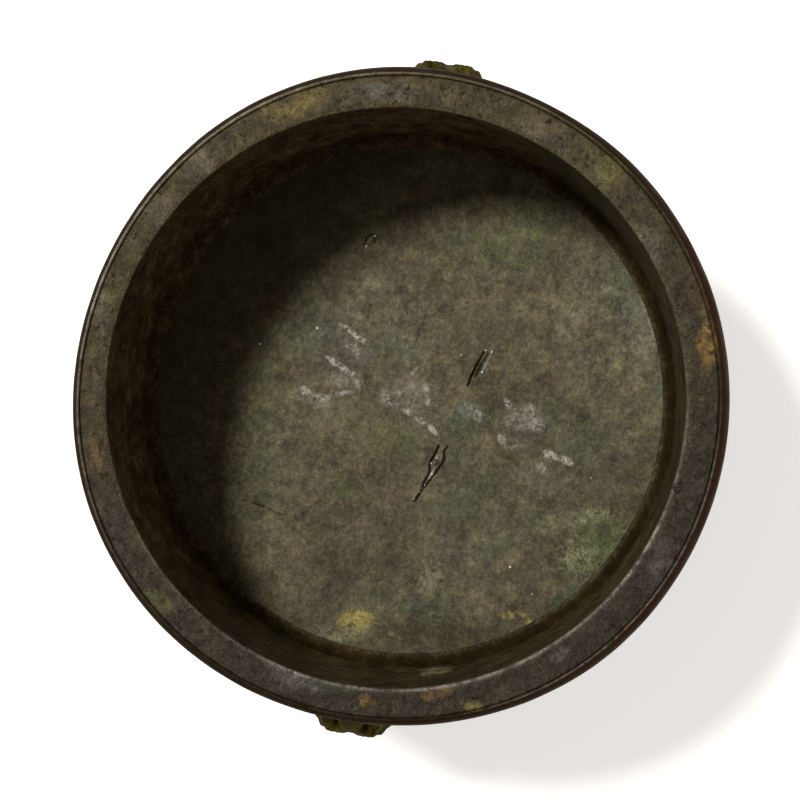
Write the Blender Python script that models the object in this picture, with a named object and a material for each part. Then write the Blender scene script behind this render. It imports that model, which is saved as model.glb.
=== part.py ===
"""Bronze tripod incense burner: a straight-walled bowl on three feet, with a lion mask on each side.

Metres, +Z up. The origin is on the ground under the middle of the bowl, and the masks face +X and -X.
"""

from math import atan2, cos, exp, hypot, pi, radians, sin, sqrt

import bmesh
import bpy

MM = 0.001

# Bowl
MOUTH_RADIUS = 72.7 * MM
WALL = 4.5 * MM
INNER_DEPTH = 60.0 * MM
FLOOR = 5.0 * MM
FLOOR_FILLET = 3.2 * MM

# Rim, from the mouth outwards: rounded edge, flat, groove, raised line, moulding
MOUTH_ROUND = 0.4 * MM
RIM_FLAT_WIDTH = 7.9 * MM
GROOVE_WIDTH = 0.4 * MM
GROOVE_DEPTH = 0.35 * MM
LINE_WIDTH = 0.7 * MM
LINE_ROUND = 0.2 * MM
MOULDING_SWELL = 2.1 * MM
MOULDING_HEIGHT = 10.5 * MM
MOULDING_CREST = 6.8 * MM
COVE = 0.4 * MM

# The lip is out of round. Dents in it: angle, push at its top edge, push at its crest, spread either way
LIP_DENTS = (
    (radians(70), 1.6 * MM, 1.9 * MM, radians(60)),
    (radians(123), 0.7 * MM, 1.3 * MM, radians(110)),
    (radians(186), 0.6 * MM, 1.6 * MM, radians(46)),
    (radians(-16), 0.1 * MM, 0.7 * MM, radians(22)),
    (radians(22), 0.1 * MM, 0.5 * MM, radians(26)),
)

# Moulding round the foot of the wall
BASE_SWELL = 2.4 * MM
BASE_HEIGHT = 9.0 * MM

# Feet
FOOT_COUNT = 3
FIRST_FOOT_ANGLE = radians(-90)
FOOT_HEIGHT = 22.0 * MM
FOOT_WIDTH = 22.0 * MM
FOOT_DEPTH = 12.0 * MM
FOOT_INSET = 3.0 * MM
FOOT_RISE_ON_WALL = 10.0 * MM
FOOT_SQUARENESS = 3

# Lion masks
MASK_HEIGHT = 30.0 * MM
MASK_WIDTH = 27.0 * MM
MASK_RISE = 8.8 * MM
MASK_EDGE = 1.0 * MM
MASK_GAP = 0.3 * MM
MASK_BELOW_MOULDING = 0.8 * MM
MASK_LOCKS = 12
MANE_PLACE = 0.87
MANE_CURL = 6.0
MASK_SCALLOP = 0.07
MASK_SQUARENESS = 2.2
MASK_TAPER = 0.12
MASK_FULLNESS = 4.2
MASK_EDGE_FADE = 0.12

# Facets
BOWL_SEGMENTS = 78
ARC_STEPS = 3
EDGE_STEPS = 2
MOULDING_STEPS = 6
FOOT_SEGMENTS = 20
FOOT_STEPS = 12
MASK_SEGMENTS = 56
MASK_RINGS = 16
MASK_BACK_RINGS = 2
MERGE_DISTANCE = 1e-6

# Worked out from the sizes above
UNDERSIDE = FOOT_HEIGHT
FLOOR_TOP = UNDERSIDE + FLOOR
RIM_TOP = FLOOR_TOP + INNER_DEPTH
WALL_RADIUS = MOUTH_RADIUS + WALL
WALL_MIDDLE = MOUTH_RADIUS + WALL / 2
GROOVE_RADIUS = MOUTH_RADIUS + RIM_FLAT_WIDTH
LINE_RADIUS = GROOVE_RADIUS + GROOVE_WIDTH
LIP_RADIUS = LINE_RADIUS + LINE_WIDTH
MOULDING_BOTTOM = RIM_TOP - MOULDING_HEIGHT
MASK_MIDDLE = MOULDING_BOTTOM - MASK_BELOW_MOULDING - MASK_HEIGHT / 2

# Foot sections from the ground up: share of the height, half widths as shares, and outward swing as a share
FOOT_SECTIONS = (
    (0.00, 0.62, 0.92, 0.00),
    (0.09, 0.62, 0.92, 0.00),
    (0.20, 0.46, 0.70, -0.04),
    (0.38, 0.44, 0.72, -0.04),
    (0.60, 0.78, 1.02, 0.16),
    (0.80, 1.00, 1.10, 0.26),
    (0.93, 0.84, 0.90, 0.20),
    (1.00, 0.40, 0.44, 0.10),
)


def arc(centre_r, centre_z, radius_r, radius_z, start, end, steps):
    """Points of an elliptical arc in the (radius, height) plane, angles in degrees."""
    points = []
    for step in range(steps + 1):
        angle = radians(start + (end - start) * step / steps)
        points.append((centre_r + radius_r * cos(angle), centre_z + radius_z * sin(angle)))
    return points


def bowl_profile():
    """The half section of the bowl, from the middle of its underside round to the middle of its floor."""
    half_base = BASE_HEIGHT / 2
    base = arc(WALL_RADIUS, UNDERSIDE + half_base, BASE_SWELL, half_base, -90, 90, MOULDING_STEPS)
    cove = [
        (WALL_RADIUS, MOULDING_BOTTOM - COVE),
        (WALL_RADIUS + COVE, MOULDING_BOTTOM),
    ]
    crest = RIM_TOP - MOULDING_CREST
    lower = arc(LIP_RADIUS, crest, MOULDING_SWELL, crest - MOULDING_BOTTOM, -90, 0, ARC_STEPS)
    upper = arc(LIP_RADIUS, crest, MOULDING_SWELL, MOULDING_CREST - LINE_ROUND, 0, 90, ARC_STEPS)[1:]
    lip = [
        (LIP_RADIUS - LINE_ROUND, RIM_TOP),
        (LINE_RADIUS, RIM_TOP),
        (LINE_RADIUS - GROOVE_WIDTH / 2, RIM_TOP - GROOVE_DEPTH),
        (GROOVE_RADIUS, RIM_TOP),
    ]
    mouth = arc(MOUTH_RADIUS + MOUTH_ROUND, RIM_TOP - MOUTH_ROUND, MOUTH_ROUND, MOUTH_ROUND, 90, 180, EDGE_STEPS)
    fillet = arc(MOUTH_RADIUS - FLOOR_FILLET, FLOOR_TOP + FLOOR_FILLET, FLOOR_FILLET, FLOOR_FILLET,
                 0, -90, ARC_STEPS)
    outside = [(0.0, UNDERSIDE)] + base + cove + lower + upper
    return outside + lip + mouth + fillet + [(0.0, FLOOR_TOP)]


def lip_dent(angle, depth_share):
    """How far the lip is pushed in at an angle round the bowl, from 0 at its top edge to 1 at its crest."""
    total = 0.0
    for middle, at_edge, at_crest, spread in LIP_DENTS:
        away = abs((angle - middle + pi) % (2 * pi) - pi)
        if away < spread:
            total += (at_edge + (at_crest - at_edge) * depth_share) * cos(away / spread * pi / 2) ** 2
    return total


def dent_lip(mesh):
    """Pushes the lip in where it is out of round, and leaves the wall and the mouth round."""
    for vert in mesh.verts:
        radius = hypot(vert.co.x, vert.co.y)
        if vert.co.z < MOULDING_BOTTOM - COVE:
            continue
        out_share = min(1.0, max(0.0, (radius - WALL_RADIUS) / (GROOVE_RADIUS - WALL_RADIUS)))
        depth_share = min(1.0, (RIM_TOP - vert.co.z) / MOULDING_CREST)
        factor = 1 - out_share * lip_dent(atan2(vert.co.y, vert.co.x), depth_share) / radius
        vert.co.x *= factor
        vert.co.y *= factor


def spin_profile(points, segments):
    """Turns a half section about Z into a closed mesh."""
    mesh = bmesh.new()
    verts = [mesh.verts.new((r, 0, z)) for r, z in points]
    edges = [mesh.edges.new(pair) for pair in zip(verts, verts[1:])]
    bmesh.ops.spin(mesh, geom=verts + edges, cent=(0, 0, 0), axis=(0, 0, 1), angle=2 * pi, steps=segments)
    bmesh.ops.remove_doubles(mesh, verts=mesh.verts, dist=MERGE_DISTANCE)
    bmesh.ops.recalc_face_normals(mesh, faces=mesh.faces)
    return mesh


def squared_oval(angle, squareness):
    """Distance from the middle to the edge of a unit circle that is pushed out towards its corners."""
    return (abs(cos(angle)) ** squareness + abs(sin(angle)) ** squareness) ** (-1 / squareness)


def blended_section(share):
    """The foot's half widths and swing at a share of its height, eased between the sections listed."""
    for low, high in zip(FOOT_SECTIONS, FOOT_SECTIONS[1:]):
        if share <= high[0]:
            t = (share - low[0]) / (high[0] - low[0])
            t = t * t * (3 - 2 * t)
            return [a + (b - a) * t for a, b in zip(low[1:], high[1:])]
    return FOOT_SECTIONS[-1][1:]


def loft(mesh, rings, closed_ends):
    """Joins rings of points into a skin, and caps the first and the last where asked."""
    rows = [[mesh.verts.new(point) for point in ring] for ring in rings]
    for lower, upper in zip(rows, rows[1:]):
        for i in range(len(lower)):
            j = (i + 1) % len(lower)
            mesh.faces.new((lower[i], lower[j], upper[j], upper[i]))
    if closed_ends:
        mesh.faces.new(list(reversed(rows[0])))
        mesh.faces.new(rows[-1])
    return rows


def foot_mesh():
    """One foot under the wall on the +X side: a pad, a thin ankle and a knee. Its back stays inside the wall."""
    mesh = bmesh.new()
    height = FOOT_HEIGHT + FOOT_RISE_ON_WALL
    rings = []
    for step in range(FOOT_STEPS + 1):
        share = step / FOOT_STEPS
        wide, deep, swing = blended_section(share)
        middle = WALL_RADIUS - FOOT_INSET + swing * FOOT_DEPTH
        ring = []
        for i in range(FOOT_SEGMENTS):
            angle = 2 * pi * i / FOOT_SEGMENTS
            reach = squared_oval(angle, FOOT_SQUARENESS)
            x = middle + reach * cos(angle) * deep * FOOT_DEPTH / 2
            y = reach * sin(angle) * wide * FOOT_WIDTH / 2
            if share * height > UNDERSIDE:
                x = max(x, sqrt(WALL_MIDDLE ** 2 - y ** 2))
            ring.append((x, y, share * height))
        rings.append(ring)
    loft(mesh, rings, closed_ends=True)
    bmesh.ops.recalc_face_normals(mesh, faces=mesh.faces)
    return mesh


def hill(distance, size):
    """A smooth bump of height 1 that fades over size."""
    return exp(-(distance / size) ** 2)


def stroke(u, v, points, size):
    """A smooth ridge of height 1 along a line through points."""
    distances = []
    for start, end in zip(points, points[1:]):
        along = (end[0] - start[0], end[1] - start[1])
        t = ((u - start[0]) * along[0] + (v - start[1]) * along[1]) / (along[0] ** 2 + along[1] ** 2)
        t = min(1.0, max(0.0, t))
        distances.append(hypot(u - start[0] - t * along[0], v - start[1] - t * along[1]))
    return hill(min(distances), size)


def mask_outline(angle):
    """Distance from the mask's middle to its edge as a share: a squared oval, scalloped by the locks of hair."""
    scallop = 1 - MASK_SCALLOP * (1 + cos(MASK_LOCKS * angle)) / 2
    return squared_oval(angle, MASK_SQUARENESS) * scallop


def lion_face(u, v):
    """Carving of the face, as a share of the mask's rise. u is across and v is up, both -1 to 1 at the edge."""
    side = abs(u)
    ears = 0.18 * hill(hypot(side - 0.56, v - 0.56), 0.21) - 0.12 * hill(hypot(side - 0.58, v - 0.54), 0.09)
    forehead_grooves = -0.19 * stroke(side, v, ((0.33, 0.95), (0.29, 0.50)), 0.08)
    forehead_edges = 0.05 * stroke(side, v, ((0.18, 0.95), (0.14, 0.50)), 0.07)
    brows = 0.28 * stroke(side, v, ((0.17, 0.20), (0.27, 0.33), (0.42, 0.38), (0.60, 0.28), (0.66, 0.14)), 0.09)
    sockets = -0.20 * hill(hypot(side - 0.36, v - 0.06), 0.22)
    eyes = 0.36 * hill(hypot(side - 0.36, v - 0.07), 0.14)
    bridge = 0.11 * stroke(side, v, ((0.0, 0.22), (0.0, -0.12)), 0.10)
    nose = 0.14 * hill(hypot(side / 1.3, v + 0.20), 0.15) + 0.15 * hill(hypot(side - 0.19, v + 0.23), 0.09)
    muzzle = 0.20 * hill(hypot(side - 0.21, v + 0.44), 0.17)
    mouth = -0.28 * stroke(side, v, ((0.0, -0.61), (0.24, -0.63), (0.48, -0.46), (0.53, -0.34)), 0.075)
    lip = 0.15 * stroke(side, v, ((0.0, -0.77), (0.20, -0.75)), 0.09)
    cheeks = 0.12 * hill(hypot(side - 0.64, v + 0.12), 0.15)
    return (ears + forehead_grooves + forehead_edges + brows + sockets + eyes + bridge + nose + muzzle
            + mouth + lip + cheeks)


def mane(u, v, share):
    """Curling locks of the mane round the face, as a share of the mask's rise, with a groove inside them."""
    from_crown = atan2(abs(u), v)
    locks = cos(MASK_LOCKS * from_crown + MANE_CURL * (share - MANE_PLACE)) * hill(share - MANE_PLACE, 0.13)
    below_crown = 1 - hill(from_crown, 0.7)
    groove = below_crown * hill(share - MANE_PLACE + 0.15, 0.06)
    return -0.13 * locks - 0.10 * groove


def mask_point(angle, share, carved):
    """A point on the mask's front (carved) or back, for the mask on the +X side."""
    edge = mask_outline(angle) * share
    u = edge * cos(angle)
    v = edge * sin(angle)
    across = u * MASK_WIDTH / 2 * (1 - MASK_TAPER * (1 - v) / 2)
    height = MASK_MIDDLE + v * MASK_HEIGHT / 2
    back = WALL_RADIUS + MASK_GAP
    radius = back
    if carved:
        dome = 1 - share ** MASK_FULLNESS
        fade = min(1.0, (1 - share) / MASK_EDGE_FADE)
        carving = (lion_face(u, v) + mane(u, v, share)) * fade
        radius += MASK_EDGE + (MASK_RISE - MASK_EDGE) * (dome + carving)
    # The back follows the wall, and the sides of the face turn outwards with it
    turn = across / back
    return (back * cos(turn) + (radius - back), back * sin(turn), height)


def mask_mesh():
    """The mask on the +X side as one closed shell."""
    mesh = bmesh.new()
    angles = [2 * pi * i / MASK_SEGMENTS for i in range(MASK_SEGMENTS)]
    shares = [(ring + 1) / MASK_RINGS for ring in range(MASK_RINGS)]
    front = [[mask_point(angle, share, True) for angle in angles] for share in shares]
    back_shares = [1 - ring / MASK_BACK_RINGS for ring in range(MASK_BACK_RINGS)]
    back = [[mask_point(angle, share, False) for angle in angles] for share in back_shares]
    rows = loft(mesh, front + back, closed_ends=False)
    for row, carved in ((rows[0], True), (rows[-1], False)):
        tip = mesh.verts.new(mask_point(0.0, 0.0, carved))
        for i in range(MASK_SEGMENTS):
            mesh.faces.new((row[i], row[(i + 1) % MASK_SEGMENTS], tip))
    bmesh.ops.recalc_face_normals(mesh, faces=mesh.faces)
    return mesh


def metal(name, colour, roughness):
    """A plain metal finish."""
    material = bpy.data.materials.new(name)
    material.use_nodes = True
    shader = material.node_tree.nodes["Principled BSDF"]
    shader.inputs["Base Color"].default_value = (*colour, 1)
    shader.inputs["Roughness"].default_value = roughness
    shader.inputs["Metallic"].default_value = 1.0
    return material


def add_object(name, mesh, material, smooth_angle=40):
    """Puts a mesh into the scene as a named object, shaded smooth up to an angle."""
    data = bpy.data.meshes.new(name)
    mesh.to_mesh(data)
    mesh.free()
    data.materials.append(material)
    data.shade_smooth()
    data.set_sharp_from_angle(angle=radians(smooth_angle))
    obj = bpy.data.objects.new(name, data)
    bpy.context.collection.objects.link(obj)
    return obj


def build_bowl(material):
    """The bowl with its feet, as one casting."""
    mesh = spin_profile(bowl_profile(), BOWL_SEGMENTS)
    dent_lip(mesh)
    bowl = add_object("bowl", mesh, material)
    for i in range(FOOT_COUNT):
        foot = add_object(f"foot_shape_{i + 1}", foot_mesh(), material)
        foot.rotation_euler.z = FIRST_FOOT_ANGLE + 2 * pi * i / FOOT_COUNT
        foot.hide_render = True
        foot.display_type = "WIRE"
        union = bowl.modifiers.new(f"join_foot_{i + 1}", "BOOLEAN")
        union.operation = "UNION"
        union.object = foot
    return bowl


def build_masks(material):
    """A lion mask on each side of the bowl."""
    for name, turn in (("lion_mask_right", 0.0), ("lion_mask_left", pi)):
        mask = add_object(name, mask_mesh(), material)
        mask.rotation_euler.z = turn


def main():
    for obj in list(bpy.data.objects):
        bpy.data.objects.remove(obj)
    build_bowl(metal("dark_bronze", (0.10, 0.085, 0.055), 0.55))
    build_masks(metal("olive_brass", (0.22, 0.18, 0.06), 0.50))


main()
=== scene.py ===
"""Looks of the bronze tripod incense burner: fine meshes with worn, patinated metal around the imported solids.

Metres, +Z up. The bowl stands on the ground at the origin, and its two lion masks face +X and -X.
"""

from math import cos, pi, radians, sin

import bmesh
import bpy
import numpy as np
from mathutils import Matrix, Vector


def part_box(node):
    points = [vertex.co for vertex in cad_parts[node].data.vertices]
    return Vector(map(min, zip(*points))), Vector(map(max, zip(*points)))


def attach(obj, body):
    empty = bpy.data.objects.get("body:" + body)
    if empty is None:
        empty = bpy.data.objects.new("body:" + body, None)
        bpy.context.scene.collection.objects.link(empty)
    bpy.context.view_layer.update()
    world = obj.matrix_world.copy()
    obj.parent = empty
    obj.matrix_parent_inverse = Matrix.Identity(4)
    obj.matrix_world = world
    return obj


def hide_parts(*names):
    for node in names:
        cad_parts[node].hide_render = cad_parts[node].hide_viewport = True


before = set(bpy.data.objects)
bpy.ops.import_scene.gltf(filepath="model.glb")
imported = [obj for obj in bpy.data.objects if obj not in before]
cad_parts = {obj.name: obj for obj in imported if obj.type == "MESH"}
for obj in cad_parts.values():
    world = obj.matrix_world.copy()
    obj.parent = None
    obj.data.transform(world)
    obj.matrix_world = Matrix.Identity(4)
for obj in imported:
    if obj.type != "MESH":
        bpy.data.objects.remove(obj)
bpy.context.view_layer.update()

MM = 0.001

# Sizes of the solids
MOUTH_RADIUS = 72.7 * MM
WALL_RADIUS = 77.2 * MM
FLOOR_TOP = 27.0 * MM
UNDERSIDE = 22.0 * MM
RIM_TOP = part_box("bowl")[1].z
FLOOR_FILLET = 3.2 * MM
MOUTH_ROUND = 0.4 * MM
GROOVE_RADIUS = 80.6 * MM
GROOVE_WIDTH = 0.4 * MM
GROOVE_DEPTH = 0.35 * MM
LINE_RADIUS = GROOVE_RADIUS + GROOVE_WIDTH
LIP_RADIUS = LINE_RADIUS + 0.7 * MM
LINE_MIDDLE = (LINE_RADIUS + LIP_RADIUS) / 2
LINE_ROUND = 0.2 * MM
MOULDING_SWELL = 2.1 * MM
MOULDING_CREST = 6.8 * MM
MOULDING_BOTTOM = RIM_TOP - 10.5 * MM
COVE = 0.4 * MM
BASE_SWELL = 2.4 * MM
BASE_HEIGHT = 9.0 * MM

# The lip is out of round. Dents in it: angle, push at its top edge, push at its crest, spread either way
LIP_DENTS = (
    (radians(70), 1.6 * MM, 1.9 * MM, radians(60)),
    (radians(123), 0.7 * MM, 1.3 * MM, radians(110)),
    (radians(186), 0.6 * MM, 1.6 * MM, radians(46)),
    (radians(-16), 0.1 * MM, 0.7 * MM, radians(22)),
    (radians(22), 0.1 * MM, 0.5 * MM, radians(26)),
)

# The photograph's camera: its pixels, its place over the rim and the turn of the bowl in the picture
PHOTO_SIZE = 800
FOCAL_PIXELS = 2407
CAMERA_HEIGHT = 600 * MM
CAMERA_RIGHT = 41.0 * MM
CAMERA_DOWN = 5.5 * MM
BOWL_TURN = radians(81.6)
AIM_RIGHT = 1.58 * MM
AIM_DOWN = 0.5 * MM
SENSOR_MM = 36.0

IMAGE_RIGHT = Vector((cos(-BOWL_TURN), sin(-BOWL_TURN), 0))
IMAGE_UP = Vector((-IMAGE_RIGHT.y, IMAGE_RIGHT.x, 0))
RIM_CENTRE = Vector((0, 0, RIM_TOP))
CAMERA_PLACE = RIM_CENTRE + IMAGE_RIGHT * CAMERA_RIGHT - IMAGE_UP * CAMERA_DOWN
CAMERA_PLACE.z += CAMERA_HEIGHT
CAMERA_AIM = RIM_CENTRE + IMAGE_RIGHT * AIM_RIGHT - IMAGE_UP * AIM_DOWN


def camera_axes():
    """The camera's right, up and backward directions."""
    back = (CAMERA_PLACE - CAMERA_AIM).normalized()
    right = IMAGE_UP.cross(back).normalized()
    return right, back.cross(right), back


def make_camera():
    """The camera, at the photograph's viewing angle."""
    right, up, back = camera_axes()
    data = bpy.data.cameras.new("camera")
    data.sensor_width = SENSOR_MM
    data.lens = FOCAL_PIXELS * SENSOR_MM / PHOTO_SIZE
    camera = bpy.data.objects.new("camera", data)
    camera.matrix_world = Matrix.Translation(CAMERA_PLACE) @ Matrix((right, up, back)).transposed().to_4x4()
    bpy.context.scene.collection.objects.link(camera)
    bpy.context.scene.camera = camera


def photo_place(pixel, height):
    """Where a pixel of the photograph lands on the level plane at a height, as x and y."""
    right, up, back = camera_axes()
    half = PHOTO_SIZE / 2
    ray = right * (pixel[0] - half) - up * (pixel[1] - half) - back * FOCAL_PIXELS
    place = CAMERA_PLACE + ray * ((height - CAMERA_PLACE.z) / ray.z)
    return np.array((place.x, place.y))


# Light
KEY_AZIMUTH = radians(58.6)
KEY_ELEVATION = radians(60)
KEY_WIDTH = radians(10)
KEY_STRENGTH = 2.9
KEY_COLOUR = (1.0, 0.97, 0.92)
FILL_STRENGTH = 0.235
FILL_COLOUR = (1.0, 0.87, 0.74, 1)
GROUND_SIZE = 3.0
GROUND_COLOUR = (0.85, 0.85, 0.84, 1)
GROUND_GLOW = 0.62


def make_lights():
    """A soft key light over the photograph's upper left, and a weak even fill."""
    data = bpy.data.lights.new("key", "SUN")
    data.angle = KEY_WIDTH
    data.energy = KEY_STRENGTH
    data.color = KEY_COLOUR
    key = bpy.data.objects.new("key", data)
    level = cos(KEY_ELEVATION)
    direction = Vector((cos(KEY_AZIMUTH) * level, sin(KEY_AZIMUTH) * level, sin(KEY_ELEVATION)))
    key.location = RIM_CENTRE + direction
    key.rotation_euler = direction.to_track_quat("Z", "Y").to_euler()
    bpy.context.scene.collection.objects.link(key)
    world = bpy.data.worlds.new("world")
    world.use_nodes = True
    background = world.node_tree.nodes["Background"]
    background.inputs["Color"].default_value = FILL_COLOUR
    background.inputs["Strength"].default_value = FILL_STRENGTH
    bpy.context.scene.world = world
    bpy.context.scene.view_settings.view_transform = "Standard"


def make_ground():
    """The plain pale floor."""
    mesh = bpy.data.meshes.new("ground")
    corners = [(x * GROUND_SIZE, y * GROUND_SIZE, 0) for x, y in ((-1, -1), (1, -1), (1, 1), (-1, 1))]
    mesh.from_pydata(corners, [], [(0, 1, 2, 3)])
    material = bpy.data.materials.new("pale_ground")
    material.use_nodes = True
    shader = material.node_tree.nodes["Principled BSDF"]
    shader.inputs["Base Color"].default_value = GROUND_COLOUR
    shader.inputs["Roughness"].default_value = 0.9
    shader.inputs["Emission Color"].default_value = (1, 1, 1, 1)
    shader.inputs["Emission Strength"].default_value = GROUND_GLOW
    mesh.materials.append(material)
    ground = bpy.data.objects.new("ground", mesh)
    bpy.context.scene.collection.objects.link(ground)


def hill(distance, size):
    """A smooth bump of height 1 that fades over size."""
    return np.exp(-(distance / size) ** 2)


def ease(value, low, high):
    """0 below low, 1 above high, and a smooth step between."""
    t = np.clip((value - low) / (high - low), 0, 1)
    return t * t * (3 - 2 * t)


def lattice_value(corner, seed):
    """A fixed random value from 0 to 1 at each whole-number lattice corner."""
    mixed = seed * 2654435761
    for axis, prime in enumerate((73856093, 19349663, 83492791)):
        mixed = mixed ^ corner[..., axis] * prime
    mixed = (mixed ^ (mixed >> 13)) * 1274126177 & 0x7FFFFFFF
    mixed = (mixed ^ (mixed >> 16)) & 0xFFFF
    return mixed / 0xFFFF


def lumps(points, size, seed):
    """Smooth noise from -1 to 1 with lumps of a size, at an array of points."""
    cell = points / size
    low = np.floor(cell).astype(np.int64)
    part = cell - low
    part = part * part * (3 - 2 * part)
    total = 0.0
    for dx in (0, 1):
        for dy in (0, 1):
            for dz in (0, 1):
                weight = (part[..., 0] if dx else 1 - part[..., 0])
                weight = weight * (part[..., 1] if dy else 1 - part[..., 1])
                weight = weight * (part[..., 2] if dz else 1 - part[..., 2])
                total = total + weight * lattice_value(low + np.array((dx, dy, dz)), seed)
    return total * 2 - 1


def rough(points, size, seed, octaves=3):
    """Noise of several sizes, each half the last."""
    total = 0.0
    for octave in range(octaves):
        total = total + lumps(points, size / 2 ** octave, seed + octave) / 2 ** octave
    return total / 1.6


# Fine meshes: a piece is a chain of rings, each of which may have as many points as the last, twice or half

def ring_faces(first, count, next_first, next_count):
    """The faces between two neighbouring rings of points."""
    if count == 1 or next_count == 1:
        tip, start, around = (first, next_first, next_count) if count == 1 else (next_first, first, count)
        return [(tip, start + i, start + (i + 1) % around) for i in range(around)]
    if count == next_count:
        return [(first + i, first + (i + 1) % count, next_first + (i + 1) % count, next_first + i)
                for i in range(count)]
    if count > next_count:
        first, count, next_first, next_count = next_first, next_count, first, count
    faces = []
    for i in range(count):
        here, there = first + i, first + (i + 1) % count
        near, middle, far = (next_first + (2 * i + k) % next_count for k in range(3))
        faces += [(here, near, middle), (here, middle, there), (there, middle, far)]
    return faces


def ring_mesh(name, rings, zones, materials):
    """A closed mesh through rings of points. zones gives the material number from each ring to the next."""
    faces = []
    material_numbers = []
    first = 0
    for ring, next_ring, zone in zip(rings, rings[1:], zones):
        new = ring_faces(first, len(ring), first + len(ring), len(next_ring))
        faces += new
        material_numbers += [zone] * len(new)
        first += len(ring)
    mesh = bpy.data.meshes.new(name)
    mesh.from_pydata(np.concatenate(rings).tolist(), [], faces)
    for material in materials:
        mesh.materials.append(material)
    mesh.polygons.foreach_set("material_index", material_numbers)
    form = bmesh.new()
    form.from_mesh(mesh)
    bmesh.ops.recalc_face_normals(form, faces=form.faces)
    form.to_mesh(mesh)
    form.free()
    piece = bpy.data.objects.new(name, mesh)
    bpy.context.scene.collection.objects.link(piece)
    return piece


def points_of(mesh):
    """The places of a mesh's points, as an array."""
    places = np.empty(len(mesh.vertices) * 3)
    mesh.vertices.foreach_get("co", places)
    return places.reshape(-1, 3)


def normals_of(mesh):
    """The directions in which a mesh's points face, as an array."""
    directions = np.empty(len(mesh.vertices) * 3)
    mesh.vertex_normals.foreach_get("vector", directions)
    return directions.reshape(-1, 3)


def move_points(mesh, places):
    """Puts a mesh's points in new places."""
    mesh.vertices.foreach_set("co", places.ravel())
    mesh.update()


def shade_smooth(mesh, sharpest):
    """Smooth shading, except across edges that turn by more than an angle."""
    mesh.shade_smooth()
    mesh.set_sharp_from_angle(angle=sharpest)


def arc(middle_r, middle_z, reach_r, reach_z, start, end, steps):
    """Profile points on a quarter or half oval, by its middle, reaches and angles in degrees."""
    turns = np.radians(np.linspace(start, end, steps + 1))
    return [(middle_r + reach_r * cos(t), middle_z + reach_z * sin(t)) for t in turns]


def straight(start, end, steps):
    """Profile points on a line between two points."""
    return [tuple(np.array(start) + (np.array(end) - np.array(start)) * i / steps) for i in range(steps + 1)]


# How finely the bowl is drawn
FLOOR, WALL, RIM, OUTSIDE = range(4)
COARSE_SEGMENTS = 480
FINE_SEGMENTS = 960
FLOOR_STEP = 1.0 * MM
UNDERSIDE_STEP = 3.0 * MM
WALL_STEPS = 24
OUTER_STEPS = 18
RIM_STEPS = 14
WIDEST_CELL = 1.3 * MM


def disc_rings(radius, height, step, most, fewest=15):
    """Rings of a flat disc from its middle outward, with fewer points where it is narrow."""
    rings = [(0.0, height, 1)]
    for i in range(1, round(radius / step)):
        here = i * step
        count = fewest
        while count < most and 2 * pi * here / count > WIDEST_CELL * step / FLOOR_STEP:
            count *= 2
        rings.append((here, height, count))
    return rings


def bowl_rings():
    """The bowl's profile from the middle of the floor, over the rim, to the middle of the underside.

    Each entry is a radius, a height, a number of points and the zone from it to the next.
    """
    half_base = BASE_HEIGHT / 2
    crest = RIM_TOP - MOULDING_CREST
    floor_edge = MOUTH_RADIUS - FLOOR_FILLET
    floor = disc_rings(floor_edge, FLOOR_TOP, FLOOR_STEP, COARSE_SEGMENTS)
    fillet = arc(floor_edge, FLOOR_TOP + FLOOR_FILLET, FLOOR_FILLET, FLOOR_FILLET, -90, 0, 8)
    wall = straight(fillet[-1], (MOUTH_RADIUS, RIM_TOP - MOUTH_ROUND), WALL_STEPS)[1:-1]
    mouth = arc(MOUTH_RADIUS + MOUTH_ROUND, RIM_TOP - MOUTH_ROUND, MOUTH_ROUND, MOUTH_ROUND, 180, 90, 4)
    rim = straight(mouth[-1], (GROOVE_RADIUS, RIM_TOP), RIM_STEPS)[1:]
    groove = arc(GROOVE_RADIUS + GROOVE_WIDTH / 2, RIM_TOP, GROOVE_WIDTH / 2, GROOVE_DEPTH, 180, 360, 4)[1:]
    line = straight((LINE_RADIUS, RIM_TOP), (LIP_RADIUS - LINE_ROUND, RIM_TOP), 2)[1:]
    edge = arc(LIP_RADIUS - LINE_ROUND, RIM_TOP - LINE_ROUND, LINE_ROUND, LINE_ROUND, 90, 0, 3)[1:]
    upper = arc(LIP_RADIUS, crest, MOULDING_SWELL, MOULDING_CREST - LINE_ROUND, 90, 0, 10)[1:]
    lower = arc(LIP_RADIUS, crest, MOULDING_SWELL, crest - MOULDING_BOTTOM, 0, -90, 6)[1:]
    cove = arc(WALL_RADIUS + COVE * 2, MOULDING_BOTTOM - COVE * 2, COVE * 2, COVE * 2, 90, 180, 3)
    outer = straight(cove[-1], (WALL_RADIUS, UNDERSIDE + BASE_HEIGHT), OUTER_STEPS)[1:]
    base = arc(WALL_RADIUS, UNDERSIDE + half_base, BASE_SWELL, half_base, 90, -90, 12)[1:]
    underside = disc_rings(WALL_RADIUS, UNDERSIDE, UNDERSIDE_STEP, COARSE_SEGMENTS)[::-1]
    profile = [(*ring, FLOOR) for ring in floor]
    for points, count, zone in ((fillet + wall, COARSE_SEGMENTS, WALL),
                                (mouth + rim + groove + line, FINE_SEGMENTS, RIM),
                                (edge, FINE_SEGMENTS, OUTSIDE),
                                (upper + lower + cove + outer + base, COARSE_SEGMENTS, OUTSIDE)):
        profile += [(*point, count, zone) for point in points]
    return profile + [(*ring, OUTSIDE) for ring in underside]


def lip_dent(angle, depth_share):
    """How far the lip is pushed in at an angle. depth_share is 0 at its top edge and 1 at its crest."""
    total = 0.0
    for middle, at_edge, at_crest, spread in LIP_DENTS:
        away = np.abs((angle - middle + pi) % (2 * pi) - pi)
        push = at_edge + (at_crest - at_edge) * depth_share
        total = total + np.where(away < spread, push * np.cos(away / spread * pi / 2) ** 2, 0)
    return total


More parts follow.
